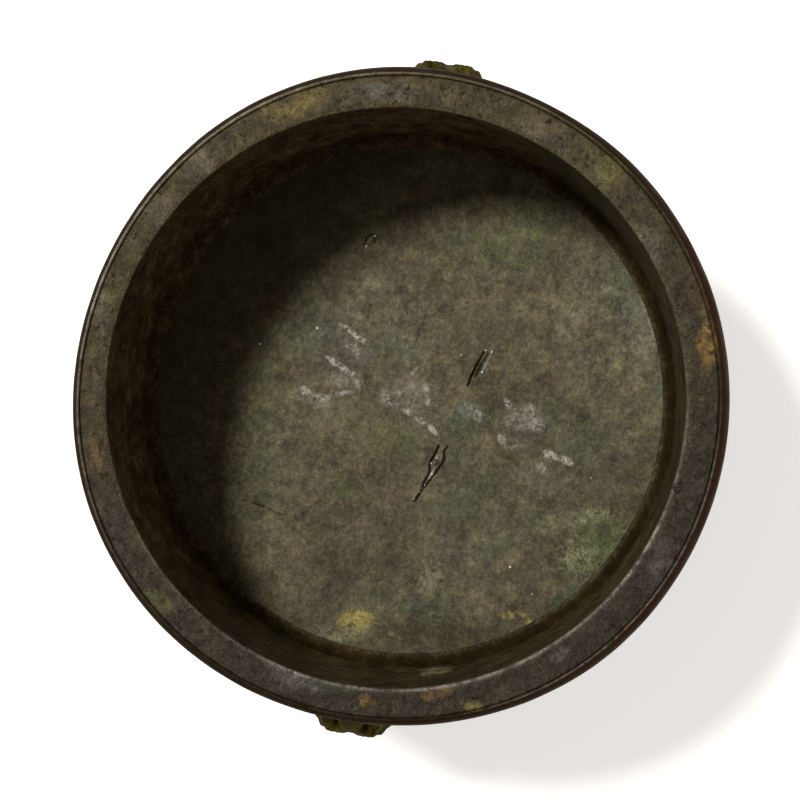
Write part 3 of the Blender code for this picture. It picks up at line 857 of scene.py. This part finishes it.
class Paint:
    """A material whose nodes are added one after another."""

    def __init__(self, name):
        self.material = bpy.data.materials.new(name)
        self.material.use_nodes = True
        self.tree = self.material.node_tree
        self.shader = self.tree.nodes["Principled BSDF"]
        place = self.add("TexCoord", {}).outputs["Object"]
        self.place = self.add("VectorMath", {0: place, "Scale": 1 / MM}, operation="SCALE").outputs[0]
        self.loose = self.warp(7, 5)

    def add(self, kind, values, **settings):
        """A node of a kind, with its settings and the values or links of its inputs."""
        node = self.tree.nodes.new("ShaderNode" + kind)
        for name, setting in settings.items():
            setattr(node, name, setting)
        for name, value in values.items():
            if isinstance(value, bpy.types.NodeSocket):
                self.tree.links.new(value, node.inputs[name])
            else:
                node.inputs[name].default_value = value
        return node

    def shift(self, seed):
        """The place, moved far enough that each seed gives other noise."""
        return self.add("VectorMath", {0: self.place, 1: (seed * 37.7, seed * 17.3, seed * 53.1)}).outputs[0]

    def noise(self, size, seed, detail=3.0, roughness=0.55, stretch=(1, 1, 1)):
        """Noise about 0.5, with lumps of a size."""
        scaled = self.add("VectorMath", {0: self.shift(seed), 1: tuple(s / size for s in stretch)},
                          operation="MULTIPLY").outputs[0]
        values = {"Vector": scaled, "Scale": 1.0, "Detail": detail, "Roughness": roughness}
        return self.add("TexNoise", values).outputs["Fac"]

    def warp(self, size, reach):
        """The place with its outlines broken up by noise."""
        scaled = self.add("VectorMath", {0: self.place, "Scale": 1 / size}, operation="SCALE").outputs[0]
        noise = self.add("TexNoise", {"Vector": scaled, "Scale": 1.0, "Detail": 3.0}).outputs["Color"]
        moved = self.add("VectorMath", {0: noise, 1: (0.5, 0.5, 0.5)}, operation="SUBTRACT").outputs[0]
        moved = self.add("VectorMath", {0: moved, "Scale": float(reach)}, operation="SCALE").outputs[0]
        return self.add("VectorMath", {0: self.place, 1: moved}).outputs[0]

    def ease(self, value, low, high, least=0.0, most=1.0):
        """A smooth step from least to most as value goes from low to high. low may be the higher."""
        values = {"Value": value, "From Min": low, "From Max": high, "To Min": least, "To Max": most}
        return self.add("MapRange", values, interpolation_type="SMOOTHSTEP").outputs["Result"]

    def math(self, operation, first, second=0.0):
        """A sum on one or two values, kept from 0 to 1."""
        return self.add("Math", {0: first, 1: second}, operation=operation, use_clamp=True).outputs[0]

    def times(self, first, second):
        """Two values multiplied, kept from 0 to 1."""
        return self.math("MULTIPLY", first, second)

    def mix(self, share, first, second, blend="MIX"):
        """Two colours mixed by a share of the second."""
        values = {0: share, 6: first, 7: second}
        return self.add("Mix", values, data_type="RGBA", blend_type=blend).outputs[2]

    def mottle(self, colour, size, seed, contrast, stretch=(1, 1, 1)):
        """A colour made lighter and darker by noise of every size up to one."""
        noise = self.noise(size, seed, 4.0, 1.0, stretch)
        doubled = self.add("Math", {0: noise, 1: 2.0}, operation="MULTIPLY").outputs[0]
        factor = self.add("Math", {0: doubled, 1: contrast}, operation="POWER").outputs[0]
        return self.mix(1.0, colour, factor, "MULTIPLY")

    def blotched(self, colour, other, size, seed, low, high, most=1.0, detail=5.0, roughness=0.7):
        """A colour with blotches of another, where noise of a size is high."""
        share = self.ease(self.noise(size, seed, detail, roughness), low, high, 0.0, most)
        return self.mix(share, colour, other)

    def uneven_roughness(self, size, seed, least, most):
        """Roughness that varies from least to most by noise."""
        return self.ease(self.noise(size, seed), 0.3, 0.7, least, most)

    def stained(self, colour, stains, height, pattern, boost=1.0):
        """A colour with stains from a table, at a height, each broken up by a pattern."""
        for pixel, reach, turn, stain, strength in stains:
            share = self.times(self.spot(pixel, reach, height, turn), pattern)
            colour = self.mix(self.times(share, strength * boost), colour, stain)
        return colour

    def across(self, turn):
        """Distance from the bowl's axis in a direction of the photograph, in degrees."""
        towards = radians(turn) - BOWL_TURN
        return self.add("VectorMath", {0: self.place, 1: (cos(towards), sin(towards), 0)},
                        operation="DOT_PRODUCT").outputs["Value"]

    def value_of(self, name):
        """A value kept for each point of the mesh."""
        return self.add("Attribute", {}, attribute_name=name).outputs["Fac"]

    def spot(self, pixel, reach, height, turn=0.0, solid=0.35):
        """1 inside an oval at a pixel of the photograph, fading to 0 at its reach, which is in pixels."""
        x, y = photo_place(pixel, height) / MM
        scale = (CAMERA_PLACE.z - height) / MM / FOCAL_PIXELS
        values = {"Vector": self.loose, "Location": (x, y, height / MM),
                  "Rotation": (0, 0, radians(turn) - BOWL_TURN),
                  "Scale": (reach[0] * scale, reach[1] * scale, 60.0)}
        local = self.add("Mapping", values, vector_type="TEXTURE").outputs[0]
        nearness = self.add("TexGradient", {"Vector": local}, gradient_type="SPHERICAL").outputs["Fac"]
        return self.ease(nearness, 0.0, 1 - solid)

    def radius(self):
        """Distance from the bowl's axis."""
        level = self.add("VectorMath", {0: self.place, 1: (1.0, 1.0, 0.0)}, operation="MULTIPLY").outputs[0]
        return self.add("VectorMath", {0: level}, operation="LENGTH").outputs["Value"]

    def height(self):
        """Height above the ground."""
        return self.add("SeparateXYZ", {"Vector": self.place}).outputs["Z"]

    def finish(self, colour, bare_and_highlight, roughness, bump, bump_height, specular, metal=0.9):
        """Joins the colour, gloss and bump to the shader. Bare places, some of them painted highlight, are
        metal, and dirt, some of it painted shade, doesn't shine.
        """
        links = self.tree.links
        links.new(colour, self.shader.inputs["Base Color"])
        links.new(roughness, self.shader.inputs["Roughness"])
        links.new(self.times(bare_and_highlight, metal), self.shader.inputs["Metallic"])
        normal = self.add("Bump", {"Height": bump, "Distance": bump_height * MM, "Strength": 1.0}).outputs[0]
        links.new(normal, self.shader.inputs["Normal"])
        shine = self.ease(self.value_of("dirt_and_shade"), 0.0, 0.6, specular, 0.0)
        links.new(shine, self.shader.inputs["Specular IOR Level"])
        return self.material


def grain(paint, colour, seed, light, dark, shade=SOOT):
    """The fine light and dark speckle of old bronze over a colour."""
    fine = paint.noise(1.1, seed, 4.0, 0.7)
    colour = paint.mix(paint.ease(fine, 0.54, 0.68, 0, light), colour, FLECK)
    return paint.mix(paint.ease(fine, 0.45, 0.28, 0, dark), colour, shade)


def wear_and_painted_light(paint, colour, bare_colour, dirt_colour=SOOT):
    """Dirt in the hollows, some of it painted shade, and bare metal where the edges are rubbed, some of it
    painted highlight. Gives colour and bareness.
    """
    broken = paint.ease(paint.noise(2.4, 91, 5.0, 0.7), 0.36, 0.58, 0.2, 1.1)
    bare_and_highlight = paint.times(paint.value_of("bare_and_highlight"), broken)
    colour = paint.mix(paint.value_of("dirt_and_shade"), colour, dirt_colour)
    return paint.mix(bare_and_highlight, colour, bare_colour), bare_and_highlight


# Stains on the floor: pixel of the photograph, reach in pixels, turn in degrees, colour, strength
FLOOR_STAINS = (
    ((600, 330), (90, 80), 0, BUFF, 0.30), ((640, 400), (40, 80), 0, BUFF, 0.30),
    ((395, 315), (80, 50), -30, BUFF, 0.30), ((310, 425), (60, 70), 0, BUFF, 0.20),
    ((380, 525), (70, 46), 0, BROWN, 0.35), ((560, 615), (70, 26), 30, BROWN, 0.45),
    ((520, 335), (60, 26), -20, BROWN, 0.40), ((580, 360), (40, 30), 0, BROWN, 0.30),
    ((440, 637), (80, 18), -2, FLOOR_DARK, 0.80), ((630, 280), (40, 60), 20, TEAL, 0.35),
    ((638, 325), (26, 44), 5, STEEL_GREY, 0.30), ((660, 380), (14, 44), 0, TEAL, 0.45),
    ((585, 440), (70, 30), -25, TEAL, 0.25), ((462, 418), (34, 24), 0, TEAL, 0.60),
    ((310, 335), (34, 40), 50, TEAL, 0.40), ((392, 352), (46, 26), 0, TEAL, 0.35),
    ((600, 545), (56, 42), 30, GREEN, 0.45), ((620, 550), (40, 28), 40, GREEN, 0.75),
    ((574, 600), (34, 20), 25, TEAL, 0.80), ((500, 640), (34, 14), 10, TEAL, 0.45),
    ((470, 520), (70, 80), 0, TEAL, 0.25), ((430, 590), (30, 44), 0, TEAL, 0.30),
    ((260, 420), (34, 90), -15, GREEN, 0.30), ((345, 482), (14, 28), 0, GREEN, 0.40),
    ((385, 440), (40, 26), 0, GREEN, 0.30), ((520, 240), (70, 44), 0, GREEN, 0.25),
    ((450, 260), (70, 30), 10, GREEN, 0.20), ((548, 482), (46, 28), 0, PINK, 0.45),
    ((415, 398), (50, 36), 0, PINK, 0.45), ((345, 350), (38, 40), 0, LILAC, 0.55),
    ((525, 430), (34, 34), 0, LILAC, 0.35), ((460, 570), (20, 50), 10, PINK, 0.30),
)

# Crisper patches on the floor, of lacy lichen and of scabs in flecks
LICHEN_PATCHES = (
    ((628, 546), (32, 14), 52, LICHEN, 0.80), ((596, 516), (34, 10), 14, LICHEN, 0.50),
    ((580, 556), (34, 26), 0, LICHEN, 0.50),
)
FLOOR_SCABS = (
    ((356, 620), (26, 15), 8, YELLOW, 0.95), ((514, 616), (20, 6), -6, YELLOW, 0.95),
    ((526, 621), (13, 4), -28, YELLOW, 0.8), ((335, 634), (50, 14), 8, FLECK, 0.50),
    ((574, 604), (20, 8), 40, STEEL_GREY, 0.75), ((645, 330), (22, 46), 5, FLECK, 0.55),
    ((430, 575), (16, 34), -8, FLECK, 0.50), ((560, 520), (34, 14), 20, FLECK, 0.40),
    # The steel-grey scab on the upper cut's bare facet is partly painted reflection, and the bare-bronze one in
    # the lower cut partly painted highlight.
    ((485, 366), (15, 5), 62, STEEL_GREY, 0.90), ((436, 462), (12, 6), 64, PINK, 0.70),
    ((432, 475), (7, 4), 62, BARE_BRONZE, 0.7),
)

# Rubbed whitish smudges: pixel of the photograph, reach in pixels, turn in degrees, strength
SMUDGES = (
    ((352, 332), (20, 3.5), -36, 0.85), ((362, 340), (10, 4), -30, 0.55), ((350, 346), (10, 3), 12, 0.45),
    ((356, 352), (6, 9), 20, 0.40), ((337, 364), (19, 4), -34, 0.85), ((350, 372), (12, 4), -22, 0.65),
    ((344, 380), (26, 13), -8, 0.30), ((306, 391), (9, 5), -34, 0.80), ((322, 397), (13, 4), -6, 0.60),
    ((343, 393), (15, 3.5), 10, 0.60), ((357, 384), (4, 8), 18, 0.35), ((318, 402), (20, 8), -8, 0.25),
    ((385, 396), (5, 11), 8, 0.45), ((392, 403), (7, 4), -50, 0.50), ((399, 392), (8, 3), 28, 0.40),
    ((413, 372), (10, 3), 44, 0.40), ((426, 391), (4, 8), 10, 0.85), ((428, 402), (3.5, 6), -8, 0.60),
    ((408, 412), (6, 4), -30, 0.70), ((421, 421), (9, 4), -34, 0.80), ((433, 430), (8, 4), -40, 0.95),
    ((408, 398), (32, 24), 0, 0.18), ((470, 410), (16, 10), 0, 0.30), ((478, 416), (6, 8), 20, 0.45),
    ((508, 404), (5, 9), 24, 0.55), ((524, 418), (26, 18), 0, 0.34), ((532, 410), (4, 10), 20, 0.45),
    ((538, 426), (8, 10), 40, 0.50), ((502, 440), (5, 10), 28, 0.65), ((514, 446), (10, 3), -4, 0.35),
    ((551, 455), (12, 5), -24, 0.95), ((567, 461), (9, 5), -30, 1.0), ((541, 468), (6, 9), 10, 0.55),
)


def floor_paint():
    """The floor: mottled olive and grey-green patina with stains, smudges and a few specks painted white as
    glints, darker near the wall, partly as painted shade, and with painted shadow where the wall's shadow
    falls.
    """
    paint = Paint("floor_patina")
    colour = paint.blotched(OLIVE, BROWN, 19, 1, 0.40, 0.60, roughness=0.65)
    colour = paint.blotched(colour, GREY_GREEN, 10, 2, 0.44, 0.58, 0.85, roughness=0.75)
    broken = paint.ease(paint.noise(3.5, 3, 4.0, 0.7), 0.30, 0.62)
    colour = paint.stained(colour, FLOOR_STAINS, FLOOR_TOP, broken, STAIN_BOOST)
    colour = grain(paint, colour, 4, 0.26, 0.12)
    # Darker near the wall, most towards the bottom: partly dirt and partly painted shade in the floor's corner.
    grime = paint.times(paint.ease(paint.radius(), 60.0, 72.0), paint.ease(paint.noise(9, 8), 0.15, 0.45))
    grime = paint.times(grime, paint.ease(paint.across(-110), 30.0, 60.0, 0.2, 0.6))
    colour = paint.mix(paint.times(grime, 0.9), colour, FLOOR_DARK)
    crust = paint.noise(2.6, 8, 4.0, 0.7)
    lace = paint.times(paint.ease(crust, 0.44, 0.48), paint.ease(crust, 0.57, 0.52, 0.15, 1))
    flecked = paint.times(paint.ease(crust, 0.42, 0.47), paint.ease(crust, 0.62, 0.55, 0.3, 1))
    paint.loose = paint.warp(2.5, 1.6)
    colour = paint.stained(colour, LICHEN_PATCHES, FLOOR_TOP, lace)
    colour = paint.stained(colour, FLOOR_SCABS, FLOOR_TOP, flecked)
    colour = paint.mottle(colour, 5, 5, 2.3)
    rubbed = paint.ease(paint.noise(1.0, 6, 5.0, 0.85), 0.42, 0.58)
    for pixel, reach, turn, strength in SMUDGES:
        share = paint.times(paint.spot(pixel, reach, FLOOR_TOP, turn, 0.4), rubbed)
        colour = paint.mix(paint.times(share, strength), colour, CHALK)
    # Painted shadow: the floor is darkened on the key light's side, where the wall's shadow falls.
    colour = paint.mix(paint.ease(paint.across(140), 34.0, 62.0, 0, 0.5), colour, WALL_OLIVE)
    colour, bare_and_highlight = wear_and_painted_light(paint, colour, BARE_BRONZE)
    paint.loose = paint.place
    # Painted glints: near-white specks where the metal catches the light.
    for pixel, strength in FLOOR_PAINTED_GLINTS:
        painted_glint = paint.spot(pixel, (PAINTED_GLINT_PIXELS, PAINTED_GLINT_PIXELS), FLOOR_TOP, 0, 0.5)
        colour = paint.mix(paint.times(painted_glint, strength), colour, PAINTED_GLINT_WHITE)
    bump = paint.noise(1.2, 7, 5.0, 0.7)
    roughness = paint.uneven_roughness(5, 9, 0.50, 0.70)
    return paint.finish(colour, bare_and_highlight, roughness, bump, 0.26, FLOOR_SPECULAR)


# Stains on the wall: pixel of the photograph, reach in pixels, turn in degrees, colour, strength
WALL_STAINS = (((652, 560), (26, 30), 0, GREEN, 0.6), ((662, 500), (20, 40), 0, GREEN, 0.3),
               ((640, 300), (20, 60), 0, WALL_OLIVE, 0.5))
# A painted sheen on the wall: pixel, reach in pixels, height and turn in degrees
WALL_SHEEN = ((438, 671), (24, 8), FLOOR_TOP + 18 * MM, -4)


def wall_paint():
    """The inside wall: dark brown, sootier towards the mouth, with yellow-green patches at one place, painted
    lighter where it lies in the wall's shadow, and with a painted sheen low down at one place.
    """
    paint = Paint("wall_patina")
    height = paint.height()
    colour = paint.blotched(WALL_BROWN, WALL_OLIVE, 14, 11, 0.40, 0.60)
    colour = paint.blotched(colour, RUST, 7, 12, 0.50, 0.64, 0.12, 4.0)
    # Painted light: the wall is lighter on the key light's side, where it lies in shadow, standing in for fill
    # light.
    shaded = paint.times(paint.ease(paint.across(140), -20.0, 45.0, 0, 0.85),
                         paint.ease(height, 27.5, 36.0, 0.5, 1.0))
    colour = paint.mix(shaded, colour, SHADE_BROWN)
    colour = paint.mix(paint.ease(paint.across(5), 45.0, 70.0, 0, 0.42), colour, SOOT)
    colour = paint.stained(colour, WALL_STAINS, FLOOR_TOP, paint.ease(height, 50.0, 28.0))
    # A painted sheen: a light buff patch low on the wall where light glanced off it.
    sheen = paint.times(paint.ease(height, 34.0, 42.0), paint.ease(height, 62.0, 50.0))
    sheen = paint.times(sheen, paint.spot(*WALL_SHEEN))
    colour = paint.mix(paint.times(sheen, 0.95), colour, BUFF)
    colour = paint.mottle(grain(paint, colour, 14, 0.16, 0.30), 8, 15, 3.4, (1, 1, 0.5))
    colour = paint.mix(paint.ease(height, 60.0, 84.0, 0, 0.35), colour, SOOT)
    colour, bare_and_highlight = wear_and_painted_light(paint, colour, BARE_BRONZE)
    bump = paint.noise(1.8, 16, 5.0, 0.65)
    roughness = paint.uneven_roughness(6, 17, 0.34, 0.56)
    return paint.finish(colour, bare_and_highlight, roughness, bump, 0.25, WALL_SPECULAR)


# Stains on the rim: pixel of the photograph, reach in pixels, turn in degrees, colour, strength. The pink
# patches and the lilac patch on the glossy places are partly painted glints
RIM_STAINS = (
    ((706, 348), (12, 34), 0, GOLD, 0.65), ((698, 300), (12, 24), 20, GOLD, 0.20),
    ((366, 703), (12, 9), -20, GOLD, 0.42), ((436, 692), (22, 9), 8, GOLD, 0.45),
    ((474, 706), (12, 7), 12, YELLOW, 0.45), ((160, 602), (24, 12), -45, GREEN, 0.45),
    ((96, 456), (11, 34), 8, GOLD, 0.30), ((330, 685), (40, 10), -5, TEAL, 0.25),
    ((595, 165), (40, 26), -40, GREEN, 0.30), ((612, 172), (24, 18), -40, YELLOW, 0.2),
    ((290, 105), (54, 18), 20, YELLOW, 0.22), ((385, 90), (44, 14), 0, STEEL_GREY, 0.22),
    ((690, 470), (16, 60), 0, PLUM, 0.45), ((650, 580), (34, 60), 0, PLUM, 0.60),
    ((580, 640), (60, 26), 35, PLUM, 0.55), ((562, 655), (16, 8), 30, LILAC, 0.6),
    ((520, 690), (44, 14), 15, RIM_OLIVE, 0.4), ((345, 708), (12, 18), 0, PLUM, 0.70),
    ((660, 560), (20, 30), 0, LILAC, 0.35), ((290, 675), (34, 16), -22, LILAC, 0.60),
    ((408, 90), (7, 5), 0, SOOT, 0.7), ((340, 100), (6, 5), 0, SOOT, 0.6),
    ((224, 135), (7, 5), 40, SOOT, 0.7), ((108, 520), (26, 60), 20, PLUM, 0.35),
    ((200, 162), (26, 16), 45, PINK, 0.45), ((160, 210), (18, 26), -30, PINK, 0.35),
    ((102, 310), (14, 40), 8, PINK, 0.35), ((645, 245), (18, 34), 30, PINK, 0.35),
    ((690, 290), (18, 30), 15, PLUM, 0.45), ((540, 128), (40, 16), -25, PINK, 0.25),
    ((120, 560), (24, 50), 25, PLUM, 0.6), ((190, 645), (50, 24), -38, PLUM, 0.6),
    ((550, 680), (60, 20), 22, PLUM, 0.5),
)

# Glossier patches of the rim, which glint, by pixel and reach
RIM_GLINTS = (((200, 163), (26, 20)), ((160, 205), (20, 20)), ((102, 312), (14, 40)), ((420, 98), (60, 16)),
              ((640, 240), (24, 30)), ((658, 255), (20, 26)), ((288, 678), (30, 18)))


def rim_paint():
    """The flat rim: brown and pitted, more olive at the photograph's top and darker at its bottom, with pink
    patches that are partly painted glints and rubbed edges that are partly painted highlight.
    """
    paint = Paint("rim_patina")
    colour = paint.mix(paint.ease(paint.across(112), -70.0, 70.0), RIM_BROWN, RIM_OLIVE)
    colour = paint.blotched(colour, PLUM, 7, 22, 0.46, 0.62, 0.4)
    colour = paint.blotched(colour, GREEN, 6, 21, 0.50, 0.64, 0.12)
    broken = paint.ease(paint.noise(3.0, 23, 4.0, 0.7), 0.28, 0.56)
    colour = paint.stained(colour, RIM_STAINS, RIM_TOP, broken, STAIN_BOOST)
    colour = paint.mottle(grain(paint, colour, 24, 0.16, 0.25), 4.5, 25, 2.2)
    pitted = paint.ease(paint.noise(1.9, 26, 3.0, 0.6), 0.38, 0.30)
    colour = paint.mix(paint.times(pitted, 0.7), colour, SOOT)
    colour, bare_and_highlight = wear_and_painted_light(paint, colour, BARE_BRONZE)
    bump = paint.math("SUBTRACT", paint.noise(2.6, 28, 5.0, 0.68), paint.times(pitted, 0.3))
    glossy = 0.0
    for pixel, reach in RIM_GLINTS:
        glossy = paint.math("ADD", glossy, paint.spot(pixel, reach, RIM_TOP))
    roughness = paint.uneven_roughness(4, 29, 0.42, 0.62)
    roughness = paint.math("SUBTRACT", roughness, paint.times(glossy, 0.18))
    return paint.finish(colour, bare_and_highlight, roughness, bump, 1.0, RIM_SPECULAR)


def outer_paint():
    """The outside: dark reddish brown, green in places, darkest at the lip, where the dark is partly painted
    shade.
    """
    paint = Paint("outer_patina")
    colour = paint.blotched(OUTER_BROWN, RUST, 18, 31, 0.38, 0.62, 0.6, 4.0, 0.6)
    colour = paint.blotched(colour, RIM_OLIVE, 11, 32, 0.46, 0.64, 0.7, 4.0, 0.6)
    colour = paint.blotched(colour, GREY_GREEN, 14, 33, 0.54, 0.68, 0.4, roughness=0.65)
    colour = paint.mottle(grain(paint, colour, 34, 0.18, 0.35), 5, 35, 2.0)
    pitted = paint.ease(paint.noise(1.9, 36, 2.0, 0.5), 0.36, 0.28)
    colour = paint.mix(paint.times(pitted, 0.7), colour, SOOT)
    # The lip's band is painted very dark: dark patina, rust on one side, and painted shade of the lip curving
    # down.
    lip_colour = paint.mix(paint.ease(paint.across(-12), 30.0, 78.0), LIP_DARK_AND_SHADE, LIP_RUST)
    colour = paint.mix(paint.ease(paint.height(), 77.0, 83.0, 0, 0.85), colour, lip_colour)
    colour, bare_and_highlight = wear_and_painted_light(paint, colour, BARE_BRONZE)
    bump = paint.math("SUBTRACT", paint.noise(1.2, 37, 4.0, 0.6), paint.times(pitted, 0.6))
    roughness = paint.uneven_roughness(6, 38, 0.55, 0.75)
    return paint.finish(colour, bare_and_highlight, roughness, bump, 0.18, OUTER_SPECULAR)


def mask_paint():
    """The masks: yellower brass, dark in the carving and light on its ridges, which is partly painted shade and
    painted highlight.
    """
    paint = Paint("mask_brass")
    colour = paint.blotched(MASK_OLIVE, MASK_DARK, 5, 41, 0.40, 0.60, 0.7, 4.0, 0.6)
    colour = paint.blotched(colour, MASK_GREEN, 5, 42, 0.50, 0.62, 0.6, 4.0, 0.6)
    colour = paint.mottle(grain(paint, colour, 43, 0.0, 0.30, MASK_DARK), 4, 44, 1.4)
    colour, bare_and_highlight = wear_and_painted_light(paint, colour, BARE_BRASS, MASK_DARK)
    bump = paint.noise(0.8, 45, 4.0, 0.6)
    roughness = paint.uneven_roughness(3, 46, 0.50, 0.68)
    return paint.finish(colour, bare_and_highlight, roughness, bump, 0.12, MASK_SPECULAR, 0.7)


make_bowl([floor_paint(), wall_paint(), rim_paint(), outer_paint()])
brass = mask_paint()
make_mask("lion_mask_right_body", "lion_mask_right", 0.0, brass)
make_mask("lion_mask_left_body", "lion_mask_left", pi, brass)
make_ground()
make_lights()
make_camera()
